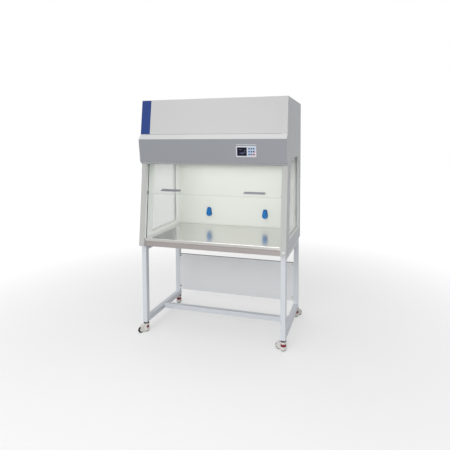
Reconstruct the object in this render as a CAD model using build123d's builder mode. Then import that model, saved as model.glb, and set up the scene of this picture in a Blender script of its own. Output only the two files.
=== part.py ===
"""Vertical laminar flow clean bench on a square-tube stand with levelling casters.

Millimetres. +X is the viewer's right, +Y points to the back, +Z is up. The origin is on the floor,
under the middle of the bench.
"""

import os
from math import cos, radians, sin, tan

from build123d import *

os.makedirs("parts", exist_ok=True)

# --- driving dimensions: cabinet -------------------------------------------------------------
cabinet_width = 1240
cabinet_depth = 690
overall_height = 1950
cabinet_base = 743
side_thickness = 45
sheet = 1.5
post_lean = 5.5

head_height = 529
fascia_foot_rise = 19
fascia_foot_setback = 38
ledge_rise = 205
ledge_setback = 18
crease_rise = 245
crease_setback = 50
top_setback = 85
panel_seam = 1.5
flange = 18
bend_radius = 2.5

# --- driving dimensions: work chamber --------------------------------------------------------
worktop_rise = 67
worktop_sheet = 2
worktop_setback = 13
worktop_lip = 28
worktop_return = 16
back_wall_gap = 45
window_sill_rise = 28
window_head_rise = 59
window_front_setback = 123
window_rear_margin = 83
window_corner = 12
glass_thickness = 5
glass_bite = 10
glass_edge_gap = 2

# --- driving dimensions: sash ----------------------------------------------------------------
sash_inset = 35
sash_opening = 362
sash_overlap = 26
sash_bite = 11
sash_clearance = 0.6
guide_wall = 2.5
guide_depth = 16
guide_top_gap = 6
handle_length = 172
handle_side_margin = 217
handle_above_edge = 31
handle_height = 12
handle_reach = 20
handle_wall = 3

# --- driving dimensions: control panel -------------------------------------------------------
panel_width = 162
panel_height = 85
panel_thickness = 5
panel_corner = 4
panel_side_margin = 316
panel_drop = 96
display_width = 78
display_height = 66
display_offset = 33
display_thickness = 3
display_recess = 0.5
key_radius = 6
key_gap = 0.3
key_proud = 1.5
key_column_pitch = 18.5
key_row_pitch = 22
key_offset = 43
key_flange = 1.5
key_flange_thickness = 1
key_pocket_depth = 3
key_rows = 3

# --- driving dimensions: air path ------------------------------------------------------------
diffuser_front_setback = 117
diffuser_hole = 12
diffuser_pitch = 44
plenum_gap = 21
plenum_height = 218
plenum_front_setback = 140
plenum_flange = 18
filter_height = 90
filter_frame_wall = 14
filter_gap = 2
filter_media_height = 60
filter_media_sheet = 2
pleat_pitch = 26
intake_width = 620
intake_depth = 240
intake_slot = 12
intake_slot_pitch = 24
prefilter_thickness = 20
prefilter_margin = 10

# --- driving dimensions: blower --------------------------------------------------------------
blower_rear_margin = 235
blower_rise = 132
blower_width = 180
scroll_radius = 112
scroll_growth = 26
scroll_steps = 8
cut_off_angle = 240
scroll_wall = 2
fan_radius = 88
fan_length = 150
fan_blades = 24
fan_blade_depth = 16
fan_blade_start = 30
fan_blade_arc = 130
fan_blade_sheet = 2
fan_backplate = 4
fan_hub_radius = 18
fan_hub_length = 50
shaft_radius = 8
shaft_gap = 0.05
shaft_end_gap = 1
inlet_radius = 70
motor_radius = 58
motor_length = 110
motor_gap = 6
motor_foot_height = 6
motor_saddle_overlap = 29

# --- driving dimensions: lamp ----------------------------------------------------------------
lamp_end_gap = 85
lamp_tray_depth = 84
lamp_tray_height = 20
lamp_rear_margin = 120
lamp_tray_taper = 12
tube_end_gap = 40
tube_radius = 7
tube_spacing = 40
tube_cap_length = 24

# --- driving dimensions: sockets -------------------------------------------------------------
socket_low_radius = 27
socket_low_drop = 17
socket_high_radius = 20
socket_high_rise = 24
socket_plate = 8
left_socket_margin = 315
right_socket_margin = 278
socket_rise = 126
socket_box_width = 44
socket_box_height = 56
socket_box_depth = 32
socket_face_radius = 19
socket_face_depth = 3
hinge_drop = 8
hinge_stand_off = 5
hinge_pin_radius = 2
hinge_pin_gap = 0.05
hinge_ear_width = 5
hinge_knuckle_length = 17
hinge_side_gap = 0.5
hinge_barrel_radius = 4
lid_inset = 2
lid_thickness = 12
lid_gap = 0.3
lid_wall = 2
lid_top_gap = 9.5
lid_edge = 3

# --- driving dimensions: stand ---------------------------------------------------------------
stand_side_inset = 7
stand_end_inset = 29
tube = 40
tube_wall = 2
tube_corner = 3
caster_height = 84
rear_panel_bottom = 148
rear_panel_height = 357
rear_panel_setback = 20
rear_panel_flange = 15

# --- driving dimensions: levelling caster ----------------------------------------------------
wheel_radius = 24
wheel_width = 18
wheel_trail = 47
axle_radius = 3
axle_gap = 0.05
wheel_side_gap = 1
cheek = 4
cheek_reach = 17
wheel_pocket_gap = 1.5
wheel_rim_recess = 2
housing_radius = 25
housing_bottom = 11
housing_top = 72
housing_tail_height = 56
housing_corner = 6
dial_radius = 21.5
dial_bottom = 35
dial_thickness = 22
dial_gap = 0.5
dial_notches = 12
dial_notch_radius = 2.2
window_reach = 8
foot_radius = 19
foot_ground_gap = 3
foot_thickness = 6
foot_sole = 2
foot_screw_radius = 5
foot_screw_top = 54
screw_gap = 0.05
foot_bore_gap = 1.5
pin_radius = 6
pin_gap = 0.05
pin_bottom = 60
raceway_radius = 23
raceway_gap = 0.3
plug_height = 16
front_left_swivel = 235
front_right_swivel = 154
rear_left_swivel = 125
rear_right_swivel = 55

# --- places worked out from the dimensions ---------------------------------------------------
head_underside = overall_height - head_height
fascia_bottom = head_underside + fascia_foot_rise
ledge_height = head_underside + ledge_rise
crease_height = head_underside + crease_rise
worktop_height = cabinet_base + worktop_rise
half_width = cabinet_width / 2
inner_half = half_width - side_thickness
front_y = -cabinet_depth / 2
rear_y = cabinet_depth / 2
back_wall_y = rear_y - back_wall_gap
worktop_front_y = front_y + worktop_setback
lean = radians(post_lean)


def post_y(height):
    """Y of the leaning post's front face at a height."""
    return front_y + (height - cabinet_base) * tan(lean)


def up_lean(height):
    """Distance along the leaning sash plane from the cabinet's underside to a height."""
    return (height - cabinet_base) / cos(lean)


fascia_lip = (post_y(head_underside), head_underside)
fascia_foot = (front_y + fascia_foot_setback, fascia_bottom)
ledge = (front_y + ledge_setback, ledge_height)
crease = (front_y + crease_setback, crease_height)
head_top = (front_y + top_setback, overall_height)


# =============================================================================================
# Head: fascia, upper front panel, top cover
# =============================================================================================

# The fascia is one folded sheet: chamfered foot, leaning face and the sloping ledge above it.
fascia_face = [fascia_lip, fascia_foot, ledge, crease]
fascia_lip_return = (fascia_lip[0], fascia_lip[1] + flange)
fascia_top_return = (crease[0] + flange, crease[1])
fascia_folds = [fascia_lip_return, *fascia_face, fascia_top_return]

# The face runs the whole width over the side panels, its folded edges only between them.
face_tilt = (ledge[0] - fascia_foot[0]) / (ledge[1] - fascia_foot[1])
panel_x = half_width - panel_side_margin
panel_z = ledge_height - panel_drop
panel_y = fascia_foot[0] + (panel_z - fascia_foot[1]) * face_tilt
panel_plane = Plane(
    origin=(panel_x, panel_y, panel_z), x_dir=(1, 0, 0), z_dir=(0, -1, face_tilt)
)

with BuildPart() as fascia:
    with BuildSketch(Plane.YZ):
        with BuildLine():
            FilletPolyline(*fascia_face, radius=bend_radius)
            offset(amount=sheet, side=Side.RIGHT)
        make_face()
    extrude(amount=half_width, both=True)
    with BuildSketch(Plane.YZ):
        with BuildLine():
            FilletPolyline(*fascia_folds, radius=bend_radius)
            offset(amount=sheet, side=Side.RIGHT)
        make_face()
    extrude(amount=inner_half, both=True)
fascia.part.label = "fascia"
export_step(fascia.part, "parts/fascia.step")

# The upper front panel leans back from the ledge to the top, behind a shadow seam.
upper_tilt = (head_top[0] - crease[0]) / (head_top[1] - crease[1])
seam_foot = (crease[0] + panel_seam * upper_tilt, crease[1] + panel_seam)
upper_face = [seam_foot, (head_top[0] - sheet * upper_tilt, head_top[1] - sheet)]
upper_folds = [(seam_foot[0] + flange, seam_foot[1]), *upper_face]

with BuildPart() as upper_front_panel:
    with BuildSketch(Plane.YZ):
        with BuildLine():
            Polyline(*upper_face)
            offset(amount=sheet, side=Side.RIGHT)
        make_face()
    extrude(amount=half_width, both=True)
    with BuildSketch(Plane.YZ):
        with BuildLine():
            FilletPolyline(*upper_folds, radius=bend_radius)
            offset(amount=sheet, side=Side.RIGHT)
        make_face()
    extrude(amount=inner_half, both=True)
upper_front_panel.part.label = "upper_front_panel"
export_step(upper_front_panel.part, "parts/upper_front_panel.step")

# The top cover closes the head and takes the room air in through a slotted grille.
top_depth = rear_y - head_top[0]
top_middle_y = (rear_y + head_top[0]) / 2
blower_y = rear_y - blower_rear_margin
intake_slots = int(intake_width // intake_slot_pitch)

with BuildPart() as top_cover:
    with BuildSketch(Plane.XY.offset(overall_height - sheet)):
        with Locations((0, top_middle_y)):
            Rectangle(cabinet_width, top_depth)
        with Locations((0, blower_y)):
            with GridLocations(intake_slot_pitch, 0, intake_slots, 1):
                SlotOverall(intake_depth, intake_slot, rotation=90, mode=Mode.SUBTRACT)
    extrude(amount=sheet)
top_cover.part.label = "top_cover"
export_step(top_cover.part, "parts/top_cover.step")


# =============================================================================================
# Side panels with their leaning posts, windows and sash guides
# =============================================================================================

sash_plane = Plane(
    origin=(0, front_y + sash_inset, cabinet_base), x_dir=(1, 0, 0), z_dir=(0, -cos(lean), sin(lean))
)
guide_width = glass_thickness + 2 * sash_clearance + 2 * guide_wall
guide_foot = up_lean(worktop_height)
guide_head = up_lean(overall_height - sheet - guide_top_gap)
guide_length = guide_head - guide_foot
guide_middle = (guide_head + guide_foot) / 2

cabinet_outline = [
    (rear_y, cabinet_base),
    (front_y, cabinet_base),
    (post_y(head_underside), head_underside),
    fascia_foot,
    ledge,
    crease,
    head_top,
    (rear_y, overall_height),
]
window_rear_y = rear_y - window_rear_margin
window_sill = worktop_height + window_sill_rise
window_head = head_underside + window_head_rise
window_outline = [
    (window_rear_y, window_sill),
    (post_y(window_sill) + window_front_setback, window_sill),
    (post_y(window_head) + window_front_setback, window_head),
    (window_rear_y, window_head),
]


def side_panel(side):
    """One side of the cabinet, folded from sheet; side is -1 for the left and 1 for the right."""
    with BuildPart() as panel:
        with BuildSketch(Plane.YZ.offset(side * (half_width - side_thickness / 2))) as outline:
            Polygon(*cabinet_outline, align=None)
            bends = outline.vertices().filter_by_position(Axis.Y, fascia_bottom, ledge_height)
            fillet(bends, bend_radius)
        extrude(amount=side_thickness / 2, both=True)
        add([fascia.part, upper_front_panel.part, top_cover.part], mode=Mode.SUBTRACT)
        with BuildSketch(Plane.YZ.offset(side * (half_width - side_thickness / 2))) as opening:
            Polygon(*window_outline, align=None)
            fillet(opening.vertices(), window_corner)
        extrude(amount=side_thickness, both=True, mode=Mode.SUBTRACT)
        with BuildSketch(Plane.YZ.offset(side * (half_width - side_thickness / 2))):
            Polygon(*window_outline, align=None)
            offset(amount=glass_bite + glass_edge_gap, kind=Kind.INTERSECTION)
        extrude(amount=glass_thickness / 2, both=True, mode=Mode.SUBTRACT)
        with BuildSketch(sash_plane):
            with Locations((side * (inner_half + guide_depth / 2), guide_middle)):
                Rectangle(guide_depth, guide_length)
        extrude(amount=guide_width / 2, both=True, mode=Mode.SUBTRACT)
    return panel.part


def side_glass(side):
    """The fixed pane in a side panel's window."""
    with BuildPart() as pane:
        with BuildSketch(Plane.YZ.offset(side * (half_width - side_thickness / 2))):
            Polygon(*window_outline, align=None)
            offset(amount=glass_bite, kind=Kind.INTERSECTION)
        extrude(amount=glass_thickness / 2, both=True)
    return pane.part


for side_name, side_sign in (("left", -1), ("right", 1)):
    panel_part = side_panel(side_sign)
    panel_part.label = f"{side_name}_side_panel"
    export_step(panel_part, f"parts/{side_name}_side_panel.step")
    pane_part = side_glass(side_sign)
    pane_part.label = f"{side_name}_side_glass"
    export_step(pane_part, f"parts/{side_name}_side_glass.step")

# Black plastic channels that the sash runs in, one let into each post.
with BuildPart() as sash_guides:
    with BuildSketch(sash_plane):
        for side_sign in (-1, 1):
            with Locations((side_sign * (inner_half + guide_depth / 2), guide_middle)):
                Rectangle(guide_depth, guide_length)
    extrude(amount=guide_width / 2, both=True)
    with BuildSketch(sash_plane):
        for side_sign in (-1, 1):
            with Locations((side_sign * (inner_half + (guide_depth - guide_wall) / 2), guide_middle)):
                Rectangle(guide_depth - guide_wall, guide_length)
    extrude(amount=glass_thickness / 2 + sash_clearance, both=True, mode=Mode.SUBTRACT)
sash_guides.part.label = "sash_guides"
export_step(sash_guides.part, "parts/sash_guides.step")


# =============================================================================================
# Sash: sliding glass and its two pulls
# =============================================================================================

sash_half_width = inner_half + sash_bite
sash_foot = up_lean(worktop_height + sash_opening)
sash_length = (head_underside - worktop_height) / cos(lean) + sash_overlap
handle_centre_x = inner_half - handle_side_margin

with BuildPart() as sash_glass:
    with BuildSketch(sash_plane):
        with Locations((0, sash_foot + sash_length / 2)):
            RectangleRounded(2 * sash_half_width, sash_length, glass_edge_gap)
    extrude(amount=glass_thickness / 2, both=True)
sash_glass.part.label = "sash_glass"
export_step(sash_glass.part, "parts/sash_glass.step")


def sash_handle(centre_x):
    """A pull folded to a channel: it is bonded to the glass and its lower leg turns down."""
    bond = sash_plane * Pos(centre_x, sash_foot + handle_above_edge, glass_thickness / 2)
    pull_plane = Plane(origin=bond.position, x_dir=sash_plane.y_dir, z_dir=(-1, 0, 0))
    with BuildPart() as pull:
        with BuildSketch(pull_plane):
            with BuildLine():
                Polyline(
                    (handle_height, 0),
                    (0, 0),
                    (0, -handle_reach),
                    (-handle_height / 2, -handle_reach),
                )
                offset(amount=handle_wall, side=Side.LEFT)
            make_face()
        extrude(amount=handle_length / 2, both=True)
    return pull.part


for side_name, side_sign in (("left", -1), ("right", 1)):
    handle_part = sash_handle(side_sign * handle_centre_x)
    handle_part.label = f"{side_name}_sash_handle"
    export_step(handle_part, f"parts/{side_name}_sash_handle.step")


# =============================================================================================
# Work chamber: base tray, worktop, back wall, rear cover
# =============================================================================================

# The base tray is folded up at the front, where it shows as the apron under the worktop's lip.
apron_top = worktop_height - worktop_lip
tray_folds = [
    (worktop_front_y + flange, apron_top),
    (worktop_front_y, apron_top),
    (worktop_front_y, cabinet_base),
    (rear_y - sheet, cabinet_base),
    (rear_y - sheet, cabinet_base + flange),
]

with BuildPart() as base_tray:
    with BuildSketch(Plane.YZ):
        with BuildLine():
            FilletPolyline(*tray_folds, radius=bend_radius)
            offset(amount=sheet, side=Side.LEFT)
        make_face()
    extrude(amount=inner_half, both=True)
base_tray.part.label = "base_tray"
export_step(base_tray.part, "parts/base_tray.step")

# The worktop is one stainless sheet with a rounded front lip that rests on the tray's fold.
worktop_folds = [
    (worktop_front_y + worktop_return, apron_top),
    (worktop_front_y, apron_top),
    (worktop_front_y, worktop_height),
    (back_wall_y, worktop_height),
    (back_wall_y, worktop_height - worktop_return),
]

with BuildPart() as worktop:
    with BuildSketch(Plane.YZ):
        with BuildLine():
            FilletPolyline(*worktop_folds, radius=bend_radius + worktop_sheet)
            offset(amount=worktop_sheet, side=Side.RIGHT)
        make_face()
    extrude(amount=inner_half, both=True)
worktop.part.label = "worktop"
export_step(worktop.part, "parts/worktop.step")

# The back wall is a shallow sheet pan with two cut-outs for the sockets' boxes.
back_wall_height = head_underside - worktop_height
socket_places = (
    ("left", left_socket_margin - inner_half),
    ("right", inner_half - right_socket_margin),
)
socket_z = worktop_height + socket_rise

with BuildPart() as back_wall:
    with BuildSketch(Plane.XZ.offset(-back_wall_y)):
        with Locations((0, worktop_height + back_wall_height / 2)):
            Rectangle(2 * inner_half, back_wall_height)
    extrude(amount=-flange)
    with BuildSketch(Plane.XZ.offset(-back_wall_y - sheet)):
        with Locations((0, worktop_height + back_wall_height / 2)):
            Rectangle(2 * (inner_half - sheet), back_wall_height - 2 * sheet)
    extrude(amount=-flange, mode=Mode.SUBTRACT)
    with BuildSketch(Plane.XZ.offset(-back_wall_y)):
        for side_name, socket_x in socket_places:
            with Locations((socket_x, socket_z)):
                Rectangle(socket_box_width, socket_box_height)
    extrude(amount=-flange, mode=Mode.SUBTRACT)
back_wall.part.label = "back_wall"
export_step(back_wall.part, "parts/back_wall.step")

# The rear cover is a sheet pan that closes the back between the two side panels.
rear_cover_foot = cabinet_base + flange
rear_cover_height = overall_height - sheet - rear_cover_foot

with BuildPart() as rear_cover:
    with BuildSketch(Plane.XZ.offset(-rear_y)):
        with Locations((0, rear_cover_foot + rear_cover_height / 2)):
            Rectangle(2 * inner_half, rear_cover_height)
    extrude(amount=flange)
    with BuildSketch(Plane.XZ.offset(-rear_y + sheet)):
        with Locations((0, rear_cover_foot + rear_cover_height / 2)):
            Rectangle(2 * (inner_half - sheet), rear_cover_height - 2 * sheet)
    extrude(amount=flange, mode=Mode.SUBTRACT)
rear_cover.part.label = "rear_cover"
export_step(rear_cover.part, "parts/rear_cover.step")


# =============================================================================================
# Air path: prefilter, blower, plenum, final filter, diffuser
# =============================================================================================

# The prefilter pad lies in a shallow tray under the intake grille.
with BuildPart() as prefilter:
    with BuildSketch(Plane.XY.offset(overall_height - sheet)):
        with Locations((0, blower_y)):
            Rectangle(intake_width + 2 * prefilter_margin, intake_depth + 2 * prefilter_margin)
    extrude(amount=-prefilter_thickness)
prefilter.part.label = "prefilter"
export_step(prefilter.part, "parts/prefilter.step")

# The plenum is a sheet box hung between the side panels, its lower flange carrying the filter.
plenum_bottom = head_underside + plenum_gap
plenum_front_y = front_y + plenum_front_setback
plenum_depth = back_wall_y - plenum_front_y
plenum_y = (back_wall_y + plenum_front_y) / 2
plenum_top = plenum_bottom + plenum_height
plenum_width = 2 * inner_half

# The blower's scroll grows round the fan from its cut-off to the outlet on the plenum's top.
blower_z = plenum_top + blower_rise
scroll_points = []
for step in range(scroll_steps + 1):
    scroll_angle = radians(cut_off_angle * (1 - step / scroll_steps))
    scroll_reach = scroll_radius + scroll_growth * step / scroll_steps
    scroll_y = blower_y + scroll_reach * cos(scroll_angle)
    scroll_z = blower_z + scroll_reach * sin(scroll_angle)
    scroll_points.append((scroll_y, scroll_z))
outlet_front = scroll_points[0][0]
outlet_back = scroll_points[-1][0]
outlet_depth = outlet_back - outlet_front - 2 * scroll_wall
outlet_y = (outlet_back + outlet_front) / 2

with BuildPart() as plenum_box:
    with BuildSketch(Plane.XY.offset(plenum_bottom)):
        with Locations((0, plenum_y)):
            Rectangle(plenum_width, plenum_depth)
    extrude(amount=plenum_height)
    with BuildSketch(Plane.XY.offset(plenum_bottom + sheet)):
        with Locations((0, plenum_y)):
            Rectangle(plenum_width - 2 * sheet, plenum_depth - 2 * sheet)
    extrude(amount=plenum_height - 2 * sheet, mode=Mode.SUBTRACT)
    with BuildSketch(Plane.XY.offset(plenum_bottom)):
        with Locations((0, plenum_y)):
            Rectangle(plenum_width - 2 * plenum_flange, plenum_depth - 2 * plenum_flange)
    extrude(amount=sheet, mode=Mode.SUBTRACT)
    with BuildSketch(Plane.XY.offset(plenum_top)):
        with Locations((0, outlet_y)):
            Rectangle(blower_width - 2 * scroll_wall, outlet_depth)
    extrude(amount=-sheet, mode=Mode.SUBTRACT)
plenum_box.part.label = "plenum_box"
export_step(plenum_box.part, "parts/plenum_box.step")

# The final filter is one cartridge: a frame with folded media glued in as a row of pleats.
filter_width = plenum_width - 2 * sheet - 2 * filter_gap
filter_depth = plenum_depth - 2 * sheet - 2 * filter_gap
filter_bottom = plenum_bottom + sheet
media_width = filter_width - 2 * filter_frame_wall
pleat_count = int(media_width // pleat_pitch)
media_low = filter_bottom + (filter_height - filter_media_height) / 2
media_high = media_low + filter_media_height
pleat_points = []
for index in range(2 * pleat_count + 1):
    pleat_x = -media_width / 2 + index * media_width / (2 * pleat_count)
    pleat_points.append((pleat_x, media_high if index % 2 else media_low))

with BuildPart() as hepa_filter:
    with BuildSketch(Plane.XY.offset(filter_bottom)):
        with Locations((0, plenum_y)):
            Rectangle(filter_width, filter_depth)
            Rectangle(media_width, filter_depth - 2 * filter_frame_wall, mode=Mode.SUBTRACT)
    extrude(amount=filter_height)
    with BuildSketch(Plane.XZ.offset(-plenum_y)):
        with BuildLine():
            Polyline(*pleat_points)
            offset(amount=filter_media_sheet, side=Side.LEFT)
        make_face()
    extrude(amount=filter_depth / 2 - filter_frame_wall, both=True)
hepa_filter.part.label = "hepa_filter"
export_step(hepa_filter.part, "parts/hepa_filter.step")

# The diffuser is a perforated sheet, the ceiling of the work chamber.
diffuser_front_y = front_y + diffuser_front_setback
diffuser_depth = back_wall_y - diffuser_front_y
diffuser_y = (back_wall_y + diffuser_front_y) / 2
hole_columns = int((2 * inner_half - 2 * flange) // diffuser_pitch)
hole_rows = int((diffuser_depth - 2 * flange) // diffuser_pitch)

with BuildPart() as diffuser_screen:
    with BuildSketch(Plane.XY.offset(head_underside)):
        with Locations((0, diffuser_y)):
            Rectangle(2 * inner_half, diffuser_depth)
            with GridLocations(diffuser_pitch, diffuser_pitch, hole_columns, hole_rows):
                Rectangle(diffuser_hole, diffuser_hole, rotation=45, mode=Mode.SUBTRACT)
    extrude(amount=sheet)
diffuser_screen.part.label = "diffuser_screen"
export_step(diffuser_screen.part, "parts/diffuser_screen.step")

# The blower's scroll is a sheet housing whose outlet stands on the plenum's top.
with BuildPart() as blower_housing:
    with BuildSketch(Plane.YZ) as scroll:
        with BuildLine():
            for first in range(0, scroll_steps, 2):
                ThreePointArc(*scroll_points[first : first + 3])
            Polyline(
                scroll_points[-1],
                (outlet_back, plenum_top),
                (outlet_front, plenum_top),
                scroll_points[0],
            )
        make_face()
    extrude(amount=blower_width / 2, both=True)
    with BuildSketch(Plane.YZ):
        add(scroll.sketch_local)
        offset(amount=-scroll_wall)
    extrude(amount=blower_width / 2 - scroll_wall, both=True, mode=Mode.SUBTRACT)
    with BuildSketch(Plane.XY.offset(plenum_top)):
        with Locations((0, outlet_y)):
            Rectangle(blower_width - 2 * scroll_wall, outlet_depth)
    extrude(amount=scroll_wall, mode=Mode.SUBTRACT)
    with BuildSketch(Plane.YZ.offset(blower_width / 2)):
        with Locations((blower_y, blower_z)):
            Circle(inlet_radius)
    extrude(amount=-scroll_wall, mode=Mode.SUBTRACT)
    with BuildSketch(Plane.YZ.offset(-blower_width / 2)):
        with Locations((blower_y, blower_z)):
            Circle(shaft_radius + scroll_wall)
    extrude(amount=scroll_wall, mode=Mode.SUBTRACT)
blower_housing.part.label = "blower_housing"
export_step(blower_housing.part, "parts/blower_housing.step")

# The fan wheel: a backplate with hub and shaft, curved blades and a front ring.
fan_low = -fan_length / 2
blade_radius = fan_blade_depth / 2
blade_centre = (fan_radius - blade_radius, -blade_radius)
blade_arc = CenterArc(blade_centre, blade_radius, fan_blade_start, fan_blade_arc)
fan_blade = SlotArc(blade_arc, fan_blade_sheet, mode=Mode.PRIVATE)
motor_end = -blower_width / 2 - motor_gap
shaft_end = motor_end - motor_length / 2 + shaft_end_gap

with BuildPart() as blower_wheel:
    with BuildSketch(Plane.YZ.offset(fan_low)):
        with Locations((blower_y, blower_z)):
            Circle(fan_radius)
    extrude(amount=fan_backplate)
    with BuildSketch(Plane.YZ.offset(fan_low)):
        with Locations((blower_y, blower_z)):
            with PolarLocations(0, fan_blades):
                add(fan_blade)
    extrude(amount=fan_length)
    with BuildSketch(Plane.YZ.offset(-fan_low - fan_backplate)):
        with Locations((blower_y, blower_z)):
            Circle(fan_radius)
            Circle(fan_radius - fan_blade_depth, mode=Mode.SUBTRACT)
    extrude(amount=fan_backplate)
    with BuildSketch(Plane.YZ.offset(fan_low)):
        with Locations((blower_y, blower_z)):
            Circle(fan_hub_radius)
    extrude(amount=fan_hub_length)
    with BuildSketch(Plane.YZ.offset(fan_low)):
        with Locations((blower_y, blower_z)):
            Circle(shaft_radius)
    extrude(amount=shaft_end - fan_low)
blower_wheel.part.label = "blower_wheel"
export_step(blower_wheel.part, "parts/blower_wheel.step")

# The motor stands on its foot beside the scroll; its bore takes the fan's shaft.
with BuildPart() as blower_motor:
    with BuildSketch(Plane.YZ.offset(motor_end)):
        with Locations((blower_y, blower_z)):
            Circle(motor_radius)
    extrude(amount=-motor_length)
    with BuildSketch(Plane.XY.offset(plenum_top)):
        with Locations((motor_end - motor_length / 2, blower_y)):
            Rectangle(motor_length, 2 * motor_radius)
    extrude(amount=motor_foot_height)
    with BuildSketch(Plane.XY.offset(plenum_top)):
        with Locations((motor_end - motor_length / 2, blower_y)):
            Rectangle(motor_length / 2, motor_radius)
    extrude(amount=blower_rise - motor_saddle_overlap)
    with BuildSketch(Plane.YZ.offset(motor_end)):
        with Locations((blower_y, blower_z)):
            Circle(shaft_radius + shaft_gap)
    extrude(amount=-motor_length / 2, mode=Mode.SUBTRACT)
blower_motor.part.label = "blower_motor"
export_step(blower_motor.part, "parts/blower_motor.step")


# =============================================================================================
# Lamp under the diffuser
# =============================================================================================

lamp_y = back_wall_y - lamp_rear_margin
lamp_front_y = lamp_y - lamp_tray_depth / 2
lamp_bottom = head_underside - lamp_tray_height
lamp_tray_length = 2 * inner_half - 2 * lamp_end_gap
tube_length = lamp_tray_length - 2 * tube_end_gap

with BuildPart() as lamp_tray:
    with BuildSketch(Plane.YZ):
        with BuildLine():
            Polyline(
                (lamp_front_y, lamp_bottom),
                (lamp_front_y + lamp_tray_taper, head_underside),
                (lamp_front_y + lamp_tray_depth - lamp_tray_taper, head_underside),
                (lamp_front_y + lamp_tray_depth, lamp_bottom),
            )
            offset(amount=sheet, side=Side.RIGHT)
        make_face()
    extrude(amount=lamp_tray_length / 2, both=True)
lamp_tray.part.label = "lamp_tray"
export_step(lamp_tray.part, "parts/lamp_tray.step")

# Two tubes side by side, a white one and a germicidal one, in lampholders under the tray.
tube_z = head_underside - sheet - lamp_tray_height / 2

with BuildPart() as lamp_tubes:
    with BuildSketch(Plane.YZ):
        for tube_side in (-1, 1):
            with Locations((lamp_y + tube_side * tube_spacing / 2, tube_z)):
                Circle(tube_radius)
    extrude(amount=tube_length / 2, both=True)
    for end in (-1, 1):
        with BuildSketch(Plane.YZ.offset(end * tube_length / 2)):
            for tube_side in (-1, 1):
                with Locations((lamp_y + tube_side * tube_spacing / 2, tube_z)):
                    Rectangle(2 * tube_radius, lamp_tray_height)
        extrude(amount=end * tube_cap_length)
    with BuildSketch(Plane.XY.offset(head_underside - sheet)):
        with Locations((0, lamp_y)):
            Rectangle(tube_length + 2 * tube_cap_length, lamp_tray_depth)
    extrude(amount=lamp_tray_height, mode=Mode.SUBTRACT)
lamp_tubes.part.label = "lamp_tubes"
export_step(lamp_tubes.part, "parts/lamp_tubes.step")


# =============================================================================================
# Sockets on the back wall, each with a flip lid on a hinge pin
# =============================================================================================

socket_face_y = back_wall_y - socket_plate
socket_top = socket_z + socket_high_rise + socket_high_radius
hinge_z = socket_top - hinge_drop
hinge_y = socket_face_y - hinge_stand_off
ear_x = hinge_knuckle_length / 2 + hinge_side_gap
hinge_half = ear_x + hinge_ear_width
lid_back_y = socket_face_y - lid_gap
lid_top = hinge_z - lid_top_gap


def socket_outline(inset):
    """Egg-shaped outline round the socket's middle, drawn in by an inset."""
    with BuildSketch() as outline:
        with Locations((0, -socket_low_drop)):
            Circle(socket_low_radius - inset)
        with Locations((0, socket_high_rise)):
            Circle(socket_high_radius - inset)
        make_hull()
    return outline.sketch


def socket(centre_x):
    """The fixed half: back box, face plate, two hinge ears and the pin between them."""
    with BuildPart() as body:
        with BuildSketch(Plane.XZ.offset(-back_wall_y)):
            with Locations((centre_x, socket_z)):
                add(socket_outline(0))
        extrude(amount=socket_plate)
        with BuildSketch(Plane.XZ.offset(-back_wall_y)):
            with Locations((centre_x, socket_z)):
                Rectangle(socket_box_width, socket_box_height)
        extrude(amount=-socket_box_depth)
        with BuildSketch(Plane.XZ.offset(-socket_face_y)):
            with Locations((centre_x, socket_z)):
                Circle(socket_face_radius)
        extrude(amount=-socket_face_depth, mode=Mode.SUBTRACT)
        for ear in (-1, 1):
            with BuildSketch(Plane.YZ.offset(centre_x + ear * ear_x)):
                with Locations((hinge_y, hinge_z)):
                    Circle(hinge_barrel_radius)
                with Locations((hinge_y + hinge_stand_off / 2, hinge_z)):
                    Rectangle(hinge_stand_off, 2 * hinge_barrel_radius)
            extrude(amount=ear * hinge_ear_width)
        with BuildSketch(Plane.YZ.offset(centre_x)):
            with Locations((hinge_y, hinge_z)):
                Circle(hinge_pin_radius)
        extrude(amount=hinge_half, both=True)
    return body.part


def socket_lid(centre_x):
    """The flip lid: a domed shell below the hinge and a knuckle round its pin."""
    with BuildPart() as lid:
        with BuildSketch(Plane.XZ.offset(-lid_back_y)):
            with Locations((centre_x, socket_z)):
                add(socket_outline(lid_inset))
            with Locations((centre_x, lid_top + socket_low_radius)):
                Rectangle(2 * socket_low_radius, 2 * socket_low_radius, mode=Mode.SUBTRACT)
        extrude(amount=lid_thickness)
        fillet(lid.faces().sort_by(Axis.Y)[0].edges(), lid_edge)
        with BuildSketch(Plane.XZ.offset(-lid_back_y)):
            with Locations((centre_x, socket_z)):
                Circle(socket_face_radius)
        extrude(amount=lid_thickness - lid_wall, mode=Mode.SUBTRACT)
        with BuildSketch(Plane.YZ.offset(centre_x)):
            with Locations((hinge_y, hinge_z)):
                Circle(hinge_barrel_radius)
            with Locations((hinge_y, (hinge_z + lid_top - lid_edge) / 2)):
                Rectangle(2 * hinge_barrel_radius, hinge_z - lid_top + lid_edge)
        extrude(amount=hinge_knuckle_length / 2, both=True)
        with BuildSketch(Plane.YZ.offset(centre_x)):
            with Locations((hinge_y, hinge_z)):
                Circle(hinge_pin_radius + hinge_pin_gap)
        extrude(amount=hinge_knuckle_length, both=True, mode=Mode.SUBTRACT)
    return lid.part


for side_name, socket_x in socket_places:
    socket_part = socket(socket_x)
    socket_part.label = f"{side_name}_socket"
    export_step(socket_part, f"parts/{side_name}_socket.step")
    lid_part = socket_lid(socket_x)
    lid_part.label = f"{side_name}_socket_lid"
    export_step(lid_part, f"parts/{side_name}_socket_lid.step")


# =============================================================================================
# Control panel on the fascia: bezel, display and nine push keys
# =============================================================================================

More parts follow.
